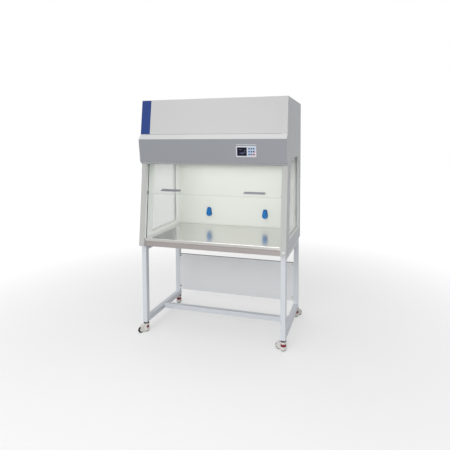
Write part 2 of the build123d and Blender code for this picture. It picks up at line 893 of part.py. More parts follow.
key_places = []
for key_row in range(key_rows):
    for key_column in range(key_rows):
        key_x = key_offset + (key_column - 1) * key_column_pitch
        key_y = (1 - key_row) * key_row_pitch
        key_places.append((key_x, key_y))
display_place = (-display_offset, 0)

with BuildPart() as control_panel:
    with BuildSketch(panel_plane):
        RectangleRounded(panel_width, panel_height, panel_corner)
    extrude(amount=panel_thickness)
    with BuildSketch(panel_plane):
        with Locations(display_place):
            Rectangle(display_width, display_height)
        with Locations(*key_places):
            Circle(key_radius + key_gap)
    extrude(amount=panel_thickness, mode=Mode.SUBTRACT)
    with BuildSketch(panel_plane):
        with Locations(*key_places):
            Circle(key_radius + key_flange + key_gap)
    extrude(amount=key_pocket_depth, mode=Mode.SUBTRACT)
    chamfer(control_panel.faces().sort_by(Axis.Y)[0].outer_wire().edges(), display_recess)
control_panel.part.label = "control_panel"
export_step(control_panel.part, "parts/control_panel.step")

with BuildPart() as lcd_display:
    with BuildSketch(panel_plane.offset(panel_thickness - display_recess)):
        with Locations(display_place):
            Rectangle(display_width, display_height)
    extrude(amount=-display_thickness)
lcd_display.part.label = "lcd_display"
export_step(lcd_display.part, "parts/lcd_display.step")

key_flange_top = key_pocket_depth - key_gap
for key_number, key_place in enumerate(key_places, start=1):
    with BuildPart() as key:
        with BuildSketch(panel_plane.offset(key_flange_top)):
            with Locations(key_place):
                Circle(key_radius + key_flange)
        extrude(amount=-key_flange_thickness)
        with BuildSketch(panel_plane.offset(key_flange_top)):
            with Locations(key_place):
                Circle(key_radius)
        extrude(amount=panel_thickness + key_proud - key_flange_top)
        chamfer(key.faces().sort_by(Axis.Y)[0].edges(), key_proud / 2)
    key.part.label = f"key_{key_number}"
    export_step(key.part, f"parts/key_{key_number}.step")


# =============================================================================================
# Stand: two welded leg frames, the cross bar and the rear panel
# =============================================================================================

stand_depth = cabinet_depth - 2 * stand_end_inset
leg_y = (stand_depth - tube) / 2
leg_x = half_width - stand_side_inset - tube / 2
frame_height = cabinet_base - caster_height
frame_middle = caster_height + frame_height / 2
rail_z = caster_height + tube / 2


def leg_frame(side):
    """Two legs and two rails of square tube, welded to a closed frame; the legs are open below."""
    frame_plane = Plane.YZ.offset(side * leg_x)
    with BuildPart() as frame:
        with BuildSketch(frame_plane):
            with Locations((0, frame_middle)):
                Rectangle(stand_depth, frame_height)
                Rectangle(stand_depth - 2 * tube, frame_height - 2 * tube, mode=Mode.SUBTRACT)
        extrude(amount=tube / 2, both=True)
        fillet(frame.edges().filter_by(Axis.Z).group_by(Axis.Y)[0], tube_corner)
        fillet(frame.edges().filter_by(Axis.Z).group_by(Axis.Y)[-1], tube_corner)
        with BuildSketch(frame_plane):
            with Locations((0, frame_middle)):
                Rectangle(stand_depth - 2 * tube_wall, frame_height - 2 * tube_wall)
                Rectangle(
                    stand_depth - 2 * tube + 2 * tube_wall,
                    frame_height - 2 * tube + 2 * tube_wall,
                    mode=Mode.SUBTRACT,
                )
        extrude(amount=tube / 2 - tube_wall, both=True, mode=Mode.SUBTRACT)
        with BuildSketch(Plane.XY.offset(caster_height)):
            with Locations((side * leg_x, leg_y), (side * leg_x, -leg_y)):
                Rectangle(tube - 2 * tube_wall, tube - 2 * tube_wall)
        extrude(amount=tube_wall, mode=Mode.SUBTRACT)
    return frame.part


for side_name, side_sign in (("left", -1), ("right", 1)):
    frame_part = leg_frame(side_sign)
    frame_part.label = f"{side_name}_leg_frame"
    export_step(frame_part, f"parts/{side_name}_leg_frame.step")

with BuildPart() as cross_bar:
    with BuildSketch(Plane.YZ):
        with Locations((0, rail_z)):
            RectangleRounded(tube, tube, tube_corner)
            Rectangle(tube - 2 * tube_wall, tube - 2 * tube_wall, mode=Mode.SUBTRACT)
    extrude(amount=leg_x - tube / 2, both=True)
cross_bar.part.label = "cross_bar"
export_step(cross_bar.part, "parts/cross_bar.step")

rear_panel_y = stand_depth / 2 - rear_panel_setback
rear_panel_middle = rear_panel_bottom + rear_panel_height / 2
rear_panel_half = leg_x - tube / 2

with BuildPart() as rear_panel:
    with BuildSketch(Plane.XZ.offset(-rear_panel_y)):
        with Locations((0, rear_panel_middle)):
            Rectangle(2 * rear_panel_half, rear_panel_height)
    extrude(amount=rear_panel_flange)
    with BuildSketch(Plane.XZ.offset(-rear_panel_y)):
        with Locations((0, rear_panel_middle)):
            Rectangle(2 * (rear_panel_half - sheet), rear_panel_height - 2 * sheet)
    extrude(amount=rear_panel_flange - sheet, mode=Mode.SUBTRACT)
rear_panel.part.label = "rear_panel"
export_step(rear_panel.part, "parts/rear_panel.step")


# =============================================================================================
# Levelling casters: fixed stem, swivelling housing, wheel, dial and screw foot
# =============================================================================================

caster_places = (
    ("front_left", -leg_x, -leg_y, front_left_swivel),
    ("front_right", leg_x, -leg_y, front_right_swivel),
    ("rear_left", -leg_x, leg_y, rear_left_swivel),
    ("rear_right", leg_x, leg_y, rear_right_swivel),
)

# The stems are screwed into the legs: plug, raceway flange and kingpin turned in one.
with BuildPart() as caster_stems:
    stem_centres = [(x, y) for _, x, y, _ in caster_places]
    with BuildSketch(Plane.XY.offset(caster_height)):
        with Locations(*stem_centres):
            Rectangle(tube - 2 * tube_wall, tube - 2 * tube_wall)
    extrude(amount=plug_height)
    with BuildSketch(Plane.XY.offset(housing_top + raceway_gap)):
        with Locations(*stem_centres):
            Circle(raceway_radius)
    extrude(amount=caster_height - housing_top - raceway_gap)
    with BuildSketch(Plane.XY.offset(pin_bottom)):
        with Locations(*stem_centres):
            Circle(pin_radius)
    extrude(amount=caster_height - pin_bottom)
caster_stems.part.label = "caster_stems"
export_step(caster_stems.part, "parts/caster_stems.step")

wheel_half = wheel_width / 2
pocket_half = wheel_half + wheel_side_gap
housing_half = pocket_half + cheek


def caster_plane(x, y, swivel):
    """Floor plane under a leg, its X axis pointing the way the wheel trails."""
    trail_way = (cos(radians(swivel)), sin(radians(swivel)), 0)
    return Plane(origin=(x, y, 0), x_dir=trail_way, z_dir=(0, 0, 1))


def side_plane(base):
    """Upright plane through the stem and the wheel, its Y axis pointing up."""
    return Plane(origin=base.origin, x_dir=base.x_dir, z_dir=-base.y_dir)


def caster_housing(base):
    """Moulded housing: barrel round the stem, cheeks over the wheel and a window for the dial."""
    upright = side_plane(base)
    with BuildPart() as housing:
        with BuildSketch(upright) as flank:
            Polygon(
                (0, housing_bottom),
                (wheel_trail, housing_bottom),
                (wheel_trail + cheek_reach, wheel_radius),
                (wheel_trail + axle_radius, housing_tail_height),
                (0, housing_top),
                align=None,
            )
            fillet(flank.vertices().sort_by(Axis.X)[-3:], housing_corner)
        extrude(amount=housing_half, both=True)
        with BuildSketch(base.offset(housing_bottom)):
            Circle(housing_radius)
        extrude(amount=housing_top - housing_bottom)
        chamfer(housing.faces().sort_by(Axis.Z)[-1].edges(), tube_corner)
        with BuildSketch(upright):
            with Locations((wheel_trail, wheel_radius)):
                Circle(wheel_radius + wheel_pocket_gap)
            with Locations((wheel_trail, 0)):
                Rectangle(2 * (wheel_radius + wheel_pocket_gap), 2 * wheel_radius)
        extrude(amount=pocket_half, both=True, mode=Mode.SUBTRACT)
        with BuildSketch(base.offset(dial_bottom - dial_gap)):
            Circle(dial_radius + dial_gap)
            with Locations((-housing_radius + window_reach, 0)):
                Rectangle(2 * housing_radius, 2 * housing_radius)
        extrude(amount=dial_thickness + 2 * dial_gap, mode=Mode.SUBTRACT)
        with BuildSketch(base):
            Circle(foot_screw_radius + foot_bore_gap)
        extrude(amount=dial_bottom, mode=Mode.SUBTRACT)
        with BuildSketch(base.offset(pin_bottom - pin_gap)):
            Circle(pin_radius + pin_gap)
        extrude(amount=housing_top, mode=Mode.SUBTRACT)
        with BuildSketch(upright):
            with Locations((wheel_trail, wheel_radius)):
                Circle(axle_radius)
        extrude(amount=housing_half, both=True)
    return housing.part


def caster_wheel(base):
    """Nylon wheel with a recessed web on both sides and a bored hub."""
    upright = side_plane(base)
    with BuildPart() as wheel:
        with BuildSketch(upright):
            with Locations((wheel_trail, wheel_radius)):
                Circle(wheel_radius)
        extrude(amount=wheel_half, both=True)
        chamfer(wheel.edges().filter_by(GeomType.CIRCLE), wheel_rim_recess)
        for face in (-1, 1):
            with BuildSketch(upright.offset(face * wheel_half)):
                with Locations((wheel_trail, wheel_radius)):
                    Circle(wheel_radius - 2 * wheel_rim_recess)
                    Circle(2 * axle_radius, mode=Mode.SUBTRACT)
            extrude(amount=-face * wheel_rim_recess, mode=Mode.SUBTRACT)
        with BuildSketch(upright):
            with Locations((wheel_trail, wheel_radius)):
                Circle(axle_radius + axle_gap)
        extrude(amount=wheel_width, both=True, mode=Mode.SUBTRACT)
    return wheel.part


def caster_dial(base):
    """Finger dial: a nut on the foot's screw with notches round its rim."""
    with BuildPart() as dial:
        with BuildSketch(base.offset(dial_bottom)):
            Circle(dial_radius)
            with PolarLocations(dial_radius, dial_notches):
                Circle(dial_notch_radius, mode=Mode.SUBTRACT)
            Circle(foot_screw_radius + screw_gap, mode=Mode.SUBTRACT)
        extrude(amount=dial_thickness)
    return dial.part


def caster_foot(base):
    """Levelling foot: a pad with a rubber sole on the screw that the dial drives."""
    with BuildPart() as foot:
        with BuildSketch(base.offset(foot_ground_gap)):
            Circle(foot_radius)
        extrude(amount=foot_thickness)
        chamfer(foot.faces().sort_by(Axis.Z)[-1].edges(), foot_sole)
        with BuildSketch(base.offset(foot_ground_gap)):
            Circle(foot_screw_radius)
        extrude(amount=foot_screw_top - foot_ground_gap)
    return foot.part


caster_pieces = (
    ("housing", caster_housing),
    ("wheel", caster_wheel),
    ("dial", caster_dial),
    ("foot", caster_foot),
)
for place, caster_x, caster_y, swivel_angle in caster_places:
    floor_plane = caster_plane(caster_x, caster_y, swivel_angle)
    for piece_name, make_piece in caster_pieces:
        caster_part = make_piece(floor_plane)
        caster_part.label = f"{place}_caster_{piece_name}"
        export_step(caster_part, f"parts/{place}_caster_{piece_name}.step")
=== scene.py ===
from math import cos, pi, radians, sin, tan

import bmesh
import bpy
from mathutils import Matrix, Vector


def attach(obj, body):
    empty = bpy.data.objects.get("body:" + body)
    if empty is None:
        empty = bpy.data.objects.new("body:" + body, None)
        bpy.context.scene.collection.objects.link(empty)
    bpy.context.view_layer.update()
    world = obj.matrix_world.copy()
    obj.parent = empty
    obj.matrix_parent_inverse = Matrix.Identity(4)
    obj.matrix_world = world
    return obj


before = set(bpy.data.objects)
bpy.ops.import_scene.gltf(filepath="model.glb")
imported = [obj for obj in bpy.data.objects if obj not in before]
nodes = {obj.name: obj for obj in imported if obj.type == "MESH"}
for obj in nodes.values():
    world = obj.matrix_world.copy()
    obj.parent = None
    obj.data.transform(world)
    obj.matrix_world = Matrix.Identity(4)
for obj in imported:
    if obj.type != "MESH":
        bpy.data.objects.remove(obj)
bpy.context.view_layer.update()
scene = bpy.context.scene


# --- Camera, floor and light -------------------------------------------------------------------
# A plain studio: the camera stands to the right of the middle, above the worktop. Soft area lights
# hang in front, low in front, overhead and in the work chamber, under an even sky. The pale floor and
# the sky are white where the camera looks past the bench.
camera_place = (1.1394, -3.0375, 1.5835)
camera_turn = radians(14.85)
camera_tilt = radians(2.96)

camera_data = bpy.data.cameras.new("camera")
camera_data.sensor_width = 36
camera_data.lens = 29.77
camera_data.shift_x = -0.0792
camera_data.shift_y = -0.1360
camera = bpy.data.objects.new("camera", camera_data)
camera.location = camera_place
camera.rotation_euler = (pi / 2 - camera_tilt, 0, camera_turn)
scene.collection.objects.link(camera)
scene.camera = camera
scene.view_settings.view_transform = "Standard"

sky_light = 0.52
sky = bpy.data.worlds.new("studio_sky")
sky.use_nodes = True
scene.world = sky
sky_nodes, sky_links = sky.node_tree.nodes, sky.node_tree.links
sky_path = sky_nodes.new("ShaderNodeLightPath")
seen = sky_nodes.new("ShaderNodeMath")
seen.operation = "MAXIMUM"
seen_through = sky_nodes.new("ShaderNodeMath")
seen_through.operation = "MAXIMUM"
sky_strength = sky_nodes.new("ShaderNodeMapRange")
sky_strength.inputs["To Min"].default_value = sky_light
sky_strength.inputs["To Max"].default_value = 1.0
sky_nodes["Background"].inputs["Color"].default_value = (1, 1, 1, 1)
sky_links.new(sky_path.outputs["Is Camera Ray"], seen.inputs[0])
sky_links.new(sky_path.outputs["Is Glossy Ray"], seen.inputs[1])
sky_links.new(seen.outputs[0], seen_through.inputs[0])
sky_links.new(sky_path.outputs["Is Transmission Ray"], seen_through.inputs[1])
sky_links.new(seen_through.outputs[0], sky_strength.inputs["Value"])
sky_links.new(sky_strength.outputs[0], sky_nodes["Background"].inputs["Strength"])


def soft_light(name, place, aim, size, power):
    """A square area light at a place, turned to shine at a point."""
    light = bpy.data.lights.new(name, "AREA")
    light.size = size
    light.energy = power
    lamp = bpy.data.objects.new(name, light)
    lamp.location = place
    lamp.rotation_euler = (Vector(aim) - Vector(place)).to_track_quat("-Z", "Y").to_euler()
    scene.collection.objects.link(lamp)
    return lamp


soft_light("key_light", (-1.0, -4.6, 2.6), (0, 0, 1.2), 2.6, 60)
soft_light("low_light", (0.7, -4.2, 0.5), (0.1, 0.2, 0.33), 1.6, 34)
soft_light("top_light", (0, -0.4, 4.6), (0, 0, 1), 3.0, 40)
chamber_light_width, chamber_light_depth = 1.06, 0.4
chamber_light = soft_light("chamber_light", (0, 0.04, 1.385), (0, 0.04, 0.8), chamber_light_width, 1.7)
chamber_light.data.shape = "RECTANGLE"
chamber_light.data.size_y = chamber_light_depth


def flat_sheet(name, corners):
    """One four-sided face through its corners."""
    mesh = bpy.data.meshes.new(name)
    mesh.from_pydata(corners, [], [(0, 1, 2, 3)])
    thing = bpy.data.objects.new(name, mesh)
    scene.collection.objects.link(thing)
    return thing


floor_reach, floor_near, floor_far = 14, 1.1, 4.0
floor_tone_near, floor_tone_far, floor_glow_near, floor_glow_far = 0.9, 0.06, 0.42, 1.0
floor_corners = [(x * floor_reach, y * floor_reach, 0) for x, y in ((-1, -1), (1, -1), (1, 1), (-1, 1))]
floor = flat_sheet("floor", floor_corners)
floor_finish = bpy.data.materials.new("pale_floor")
floor_finish.use_nodes = True
floor_nodes, floor_links = floor_finish.node_tree.nodes, floor_finish.node_tree.links
floor_shader = floor_nodes["Principled BSDF"]
floor_shader.inputs["Roughness"].default_value = 0.75
floor_shader.inputs["Specular IOR Level"].default_value = 0.2
floor_shader.inputs["Emission Color"].default_value = (1, 1, 1, 1)
floor_path = floor_nodes.new("ShaderNodeLightPath")
floor_place = floor_nodes.new("ShaderNodeTexCoord")
floor_distance = floor_nodes.new("ShaderNodeVectorMath")
floor_distance.operation = "LENGTH"
floor_fade = floor_nodes.new("ShaderNodeMapRange")
floor_fade.interpolation_type = "SMOOTHSTEP"
floor_fade.inputs["From Min"].default_value = floor_near
floor_fade.inputs["From Max"].default_value = floor_far
floor_fade.inputs["To Min"].default_value = floor_glow_near
floor_fade.inputs["To Max"].default_value = floor_glow_far
floor_shade = floor_nodes.new("ShaderNodeMapRange")
floor_shade.inputs["To Min"].default_value = floor_tone_near
floor_shade.inputs["To Max"].default_value = floor_tone_far
floor_mirrored = floor_nodes.new("ShaderNodeMath")
floor_mirrored.operation = "MAXIMUM"
floor_lift = floor_nodes.new("ShaderNodeMath")
floor_lift.operation = "MULTIPLY"
floor_links.new(floor_place.outputs["Object"], floor_distance.inputs[0])
floor_links.new(floor_distance.outputs["Value"], floor_fade.inputs["Value"])
floor_links.new(floor_fade.outputs[0], floor_shade.inputs["Value"])
floor_links.new(floor_shade.outputs[0], floor_shader.inputs["Base Color"])
floor_links.new(floor_path.outputs["Is Camera Ray"], floor_mirrored.inputs[0])
floor_links.new(floor_path.outputs["Is Glossy Ray"], floor_mirrored.inputs[1])
floor_links.new(floor_mirrored.outputs[0], floor_lift.inputs[0])
floor_links.new(floor_fade.outputs[0], floor_lift.inputs[1])
floor_links.new(floor_lift.outputs[0], floor_shader.inputs["Emission Strength"])
floor.data.materials.append(floor_finish)

# A dark card outside the left window, which shows only where the polished worktop mirrors it.
card_x, card_front, card_back, card_low, card_high = -2.6, 2.2, 4.6, 1.45, 2.5
card_tone = (0.18, 0.25, 0.31, 1)
card = flat_sheet("mirror_card", [
    (card_x, card_front, card_low),
    (card_x, card_back, card_low),
    (card_x, card_back, card_high),
    (card_x, card_front, card_high),
])
card.visible_camera = False
card.visible_diffuse = False
card.visible_shadow = False
card_finish = bpy.data.materials.new("card_grey")
card_finish.use_nodes = True
card_finish.node_tree.nodes["Principled BSDF"].inputs["Base Color"].default_value = card_tone
card.data.materials.append(card_finish)


# --- Cabinet head: upper front panel, fascia and top cover ----------------------------------------
# Folded steel sheet, powder coated in a fine satin. The coat has a slight orange peel, and its tone drifts a
# little over a panel's width. The fascia's face between its ledge and its chamfered foot is a darker grey:
# painted shade, because the face leans downwards, away from the light.


def finish(
    name, colour, roughness, grain, stretch=(1, 1, 1), tone=0.03, spread=0.05, relief=0.0001, **sockets
):
    """A material whose colour, gloss and relief vary with noise on object coordinates.

    colour is sRGB from 0 to 255; grain is the noise's scale per metre, stretch its shape; tone and
    spread are the shares by which colour and roughness vary; relief is the bump's height in metres.
    """
    material = bpy.data.materials.new(name)
    material.use_nodes = True
    tree = material.node_tree
    shader = tree.nodes["Principled BSDF"]
    linear = linear_colour(colour)
    for socket, value in sockets.items():
        shader.inputs[socket.replace("_", " ")].default_value = value
    place = tree.nodes.new("ShaderNodeTexCoord")
    turn = tree.nodes.new("ShaderNodeMapping")
    turn.inputs["Scale"].default_value = stretch
    fine = tree.nodes.new("ShaderNodeTexNoise")
    fine.inputs["Scale"].default_value = grain
    fine.inputs["Detail"].default_value = 3
    broad = tree.nodes.new("ShaderNodeTexNoise")
    broad.inputs["Scale"].default_value = 2.3
    broad.inputs["Detail"].default_value = 2
    both = tree.nodes.new("ShaderNodeMath")
    both.operation = "ADD"
    ramp = tree.nodes.new("ShaderNodeMapRange")
    ramp.inputs["From Min"].default_value = 0.6
    ramp.inputs["From Max"].default_value = 1.4
    mix = tree.nodes.new("ShaderNodeMix")
    mix.data_type = "RGBA"
    mix.inputs["A"].default_value = (*[c * (1 - tone) for c in linear], 1)
    mix.inputs["B"].default_value = (*[min(c * (1 + tone), 1) for c in linear], 1)
    gloss = tree.nodes.new("ShaderNodeMapRange")
    gloss.inputs["To Min"].default_value = max(roughness - spread, 0.02)
    gloss.inputs["To Max"].default_value = min(roughness + spread, 1)
    bump = tree.nodes.new("ShaderNodeBump")
    bump.inputs["Strength"].default_value = 0.6
    bump.inputs["Distance"].default_value = relief
    link = tree.links.new
    link(place.outputs["Object"], turn.inputs["Vector"])
    link(turn.outputs["Vector"], fine.inputs["Vector"])
    link(place.outputs["Object"], broad.inputs["Vector"])
    link(fine.outputs["Fac"], both.inputs[0])
    link(broad.outputs["Fac"], both.inputs[1])
    link(both.outputs[0], ramp.inputs["Value"])
    link(ramp.outputs[0], mix.inputs["Factor"])
    link(mix.outputs["Result"], shader.inputs["Base Color"])
    link(fine.outputs["Fac"], gloss.inputs["Value"])
    link(gloss.outputs[0], shader.inputs["Roughness"])
    link(fine.outputs["Fac"], bump.inputs["Height"])
    link(bump.outputs["Normal"], shader.inputs["Normal"])
    return material


def linear_colour(colour):
    """sRGB from 0 to 255 as linear shares."""
    return [((c / 255 + 0.055) / 1.055) ** 2.4 if c > 10.3 else c / 255 / 12.92 for c in colour]


def tint(material, colour, limits, blend=0.0005):
    """Recolours the part of a finish that lies past every limit.

    A limit is a direction and a distance along it from the origin, in metres; blend is how far the
    change of colour takes.
    """
    tree = material.node_tree
    shader = tree.nodes["Principled BSDF"]
    before = shader.inputs["Base Color"].links[0].from_socket
    place = tree.nodes.new("ShaderNodeTexCoord")
    share = None
    for way, distance in limits:
        along = tree.nodes.new("ShaderNodeVectorMath")
        along.operation = "DOT_PRODUCT"
        along.inputs[1].default_value = way
        step = tree.nodes.new("ShaderNodeMapRange")
        step.inputs["From Min"].default_value = distance - blend / 2
        step.inputs["From Max"].default_value = distance + blend / 2
        tree.links.new(place.outputs["Object"], along.inputs[0])
        tree.links.new(along.outputs["Value"], step.inputs["Value"])
        if share is None:
            share = step.outputs[0]
        else:
            both = tree.nodes.new("ShaderNodeMath")
            both.operation = "MULTIPLY"
            tree.links.new(share, both.inputs[0])
            tree.links.new(step.outputs[0], both.inputs[1])
            share = both.outputs[0]
    mix = tree.nodes.new("ShaderNodeMix")
    mix.data_type = "RGBA"
    mix.inputs["B"].default_value = (*linear_colour(colour), 1)
    tree.links.new(share, mix.inputs["Factor"])
    tree.links.new(before, mix.inputs["A"])
    tree.links.new(mix.outputs["Result"], shader.inputs["Base Color"])


def coat(material, *names):
    """Gives CAD nodes a material in their one slot."""
    for name in names:
        mesh = nodes[name].data
        mesh.materials.clear()
        mesh.materials.append(material)


orange_peel = 420
ledge_z, foot_z = 1.6265, 1.4385
cabinet_paint = finish("cabinet_paint", (210, 210, 210), 0.42, orange_peel, tone=0.012)
# Painted shade: the fascia's face is a darker grey because it leans downwards, away from the light above.
fascia_paint = finish("fascia_paint", (155, 158, 164), 0.4, orange_peel, tone=0.03)
tint(fascia_paint, (212, 213, 213), [((0, 0, 1), ledge_z)])
tint(fascia_paint, (200, 202, 204), [((0, 0, -1), -foot_z)])
coat(cabinet_paint, "upper_front_panel", "top_cover", "rear_cover")
coat(fascia_paint, "fascia")


def new_piece(name, mesh, material, body):
    """A piece from a mesh in place, with its finish, riding on a body."""
    thing = bpy.data.objects.new(name, mesh)
    scene.collection.objects.link(thing)
    mesh.materials.clear()
    mesh.materials.append(material)
    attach(thing, body)


def seat_at(place, up, out):
    """The seat of something flat on a face that runs along X, with its Y up the face and its Z out."""
    return Matrix.Translation(place) @ Matrix((
        (1, 0, 0, 0),
        (0, up.y, out.y, 0),
        (0, up.z, out.z, 0),
        (0, 0, 0, 1),
    ))


def plate_mesh(name, seat, size, thickness, corner, edge):
    """A flat plate with round corners and a broken edge, lying on the XY plane of its seat.

    size is its width and height about the seat's origin; corner rounds its outline and edge breaks
    the rim of its upper face.
    """
    steps = 5
    rings = []
    for inset, level in ((0, 0), (0, thickness - edge), (edge, thickness)):
        ring = []
        for turn, (side_x, side_y) in enumerate(((1, 1), (-1, 1), (-1, -1), (1, -1))):
            centre = Vector((side_x * (size[0] / 2 - corner), side_y * (size[1] / 2 - corner), level))
            for step in range(steps + 1):
                angle = pi / 2 * (turn + step / steps)
                ring.append(centre + Vector((cos(angle), sin(angle), 0)) * (corner - inset))
        rings.append(ring)
    count = len(rings[0])
    points = [seat @ point for ring in rings for point in ring]
    faces = []
    for low in (0, count):
        for index in range(count):
            follow = (index + 1) % count
            faces.append((low + index, low + follow, low + count + follow, low + count + index))
    faces.append(tuple(range(2 * count, 3 * count)))
    faces.append(tuple(reversed(range(count))))
    mesh = bpy.data.meshes.new(name)
    mesh.from_pydata(points, [], faces)
    return mesh


# The upper panel carries a blank blue plate, the full height of its face, bonded on at the left.
crease_y, crease_z = -0.295, 1.666
top_y, top_z = -0.260, 1.950
plate_left, plate_right = -0.618, -0.535
plate_thickness, plate_corner, plate_edge, plate_margin = 0.0012, 0.002, 0.0004, 0.003
upper_up = Vector((0, top_y - crease_y, top_z - crease_z)).normalized()
upper_out = Vector((1, 0, 0)).cross(upper_up)
upper_height = (Vector((0, top_y, top_z)) - Vector((0, crease_y, crease_z))).length
plate_middle = Vector(((plate_left + plate_right) / 2, (crease_y + top_y) / 2, (crease_z + top_z) / 2))
plate_seat = seat_at(plate_middle, upper_up, upper_out)
plate_blue = finish("plate_blue", (50, 74, 140), 0.5, 600, tone=0.03, relief=0.00003, Specular_IOR_Level=0.15)
plate_size = (plate_right - plate_left, upper_height - 2 * plate_margin)
new_piece(
    "bare_plate",
    plate_mesh("bare_plate", plate_seat, plate_size, plate_thickness, plate_corner, plate_edge),
    plate_blue,
    "cabinet",
)


# --- Control panel -------------------------------------------------------------------------------
# A moulded bezel let into the fascia, with a printed membrane, a dark liquid-crystal window and nine domed
# keys in their own colours. A thin pale raised strip above it is a painted highlight, standing in for the
# highlight line along the bezel's top.
panel_x, panel_z = 0.304, 1.530
panel_y = -0.31668
fascia_setback, fascia_height = 0.020, 0.186
panel_out = Vector((0, -1, -fascia_setback / fascia_height)).normalized()
panel_up = panel_out.cross(Vector((1, 0, 0)))
panel_seat = seat_at((panel_x, panel_y, panel_z), panel_up, panel_out)
panel_film = finish("panel_film", (226, 228, 238), 0.32, 500, tone=0.02)
key_field_left, key_field_right, key_field_rise = 0.316, 0.378, 0.034
blush_x, blush_z, blush_blend = 0.356, 1.514, 0.012
tint(
    panel_film,
    (198, 218, 243),
    [
        ((1, 0, 0), key_field_left),
        ((-1, 0, 0), -key_field_right),
        ((0, 0, 1), panel_z - key_field_rise),
        ((0, 0, -1), -panel_z - key_field_rise),
    ],
)
tint(
    panel_film,
    (236, 214, 222),
    [((1, 0, -1), blush_x - blush_z), ((-1, 0, 0), -key_field_right), ((0, 0, 1), panel_z - key_field_rise)],
    blush_blend,
)
display_black = finish("display_black", (7, 8, 20), 0.2, 30, tone=0.2, spread=0.03, Specular_IOR_Level=0.15)
display_half_width, display_half_height = 0.031, 0.025
display_offset = 0.033
display_x = panel_x - display_offset
tint(
    display_black,
    (13, 15, 36),
    [
        ((1, 0, 0), display_x - display_half_width),
        ((-1, 0, 0), -display_x - display_half_width),
        ((0, 0, 1), panel_z - display_half_height),
        ((0, 0, -1), -panel_z - display_half_height),
    ],
)
coat(panel_film, "control_panel")
coat(display_black, "lcd_display")
key_colours = {
    "brown": (34, 22, 27),
    "teal": (14, 27, 31),
    "slate": (60, 84, 130),
    "blue": (30, 72, 130),
    "navy": (18, 24, 50),
    "black": (12, 12, 17),
    "red": (124, 54, 60),
}
key_finishes = {
    name: finish(f"key_{name}", colour, 0.4, 700, tone=0.08, Specular_IOR_Level=0.2)
    for name, colour in key_colours.items()
}
key_order = ("brown", "teal", "slate", "blue", "navy", "black", "blue", "black", "red")
for number, name in enumerate(key_order, start=1):
    coat(key_finishes[name], f"key_{number}")

# Painted highlight: a thin pale raised strip above the bezel, standing in for the highlight line along its
# top.
highlight_strip_rise, highlight_strip_size, highlight_strip_thickness, highlight_strip_corner, highlight_strip_edge = 0.0535, (0.162, 0.0035), 0.002, 0.0012, 0.0008
highlight_strip_white = finish("highlight_strip_white", (224, 226, 230), 0.3, 500, tone=0.02)
highlight_strip_seat = panel_seat @ Matrix.Translation((0, highlight_strip_rise, 0))
new_piece(
    "panel_trim",
    plate_mesh("panel_trim", highlight_strip_seat, highlight_strip_size, highlight_strip_thickness, highlight_strip_corner, highlight_strip_edge),
    highlight_strip_white,
    "cabinet",
)

# The window shows a short bar graph and three marks, each a raised segment. A place is a segment's
# distance across and up from the panel's middle, its width and its height.
segment_ink = finish("segment_ink", (112, 118, 164), 0.3, 400, tone=0.05)
display_rise, segment_thickness = 0.0045, 0.0004
bar_count, bar_left, bar_pitch, bar_rise, bar_width = 6, -0.052, 0.006, -0.012, 0.0035
bar_height, bar_growth = 0.004, 0.0016
segment_seat = panel_seat @ Matrix.Translation((0, 0, display_rise))
segments = bpy.data.meshes.new("display_segments")
segment_work = bmesh.new()
segment_places = [
    (bar_left + bar_pitch * bar, bar_rise, bar_width, bar_height + bar_growth * bar)
    for bar in range(bar_count)
]
level_mark, upright_mark, top_mark = (
    (-0.010, 0.010, 0.012, 0.003),
    (-0.010, -0.006, 0.003, 0.014),
    (-0.046, 0.016, 0.020, 0.0025),
)
segment_places += [level_mark, upright_mark, top_mark]
for across, rise, wide, tall in segment_places:
    lifted = bmesh.ops.create_cube(segment_work, size=1)["verts"]
    bmesh.ops.scale(segment_work, verts=lifted, vec=(wide, tall, segment_thickness))
    bmesh.ops.translate(segment_work, verts=lifted, vec=(across, rise, segment_thickness / 2))
segment_work.transform(segment_seat)
segment_work.to_mesh(segments)
segment_work.free()
new_piece("display_segments", segments, segment_ink, "cabinet")


# --- Fixings ---------------------------------------------------------------------------------------
# Zinc-plated pan heads with a round recess, all turned alike: they hold the rear cover, the foot of
# each post and the rear panel between the legs, whose left-hand pair is blackened.
head_profile = ((1.0, 0.0), (1.0, 0.35), (0.86, 0.74), (0.52, 0.97), (0.36, 1.0), (0.30, 0.55))
head_sides = 12


def head_mesh(name):
    """A pan head of unit radius and height, turned about Z, with a round recess."""
    points, faces = [], []
    for reach, level in head_profile:
        for side in range(head_sides):
            angle = 2 * pi * side / head_sides
            points.append((reach * cos(angle), reach * sin(angle), level))
    for ring in range(len(head_profile) - 1):
        for side in range(head_sides):
            follow = (side + 1) % head_sides
            low, high = ring * head_sides, (ring + 1) * head_sides
            faces.append((low + side, low + follow, high + follow, high + side))
    faces.append(tuple(reversed(range(head_sides))))
    faces.append(tuple(range(len(points) - head_sides, len(points))))
    mesh = bpy.data.meshes.new(name)
    mesh.from_pydata(points, [], faces)
    return mesh


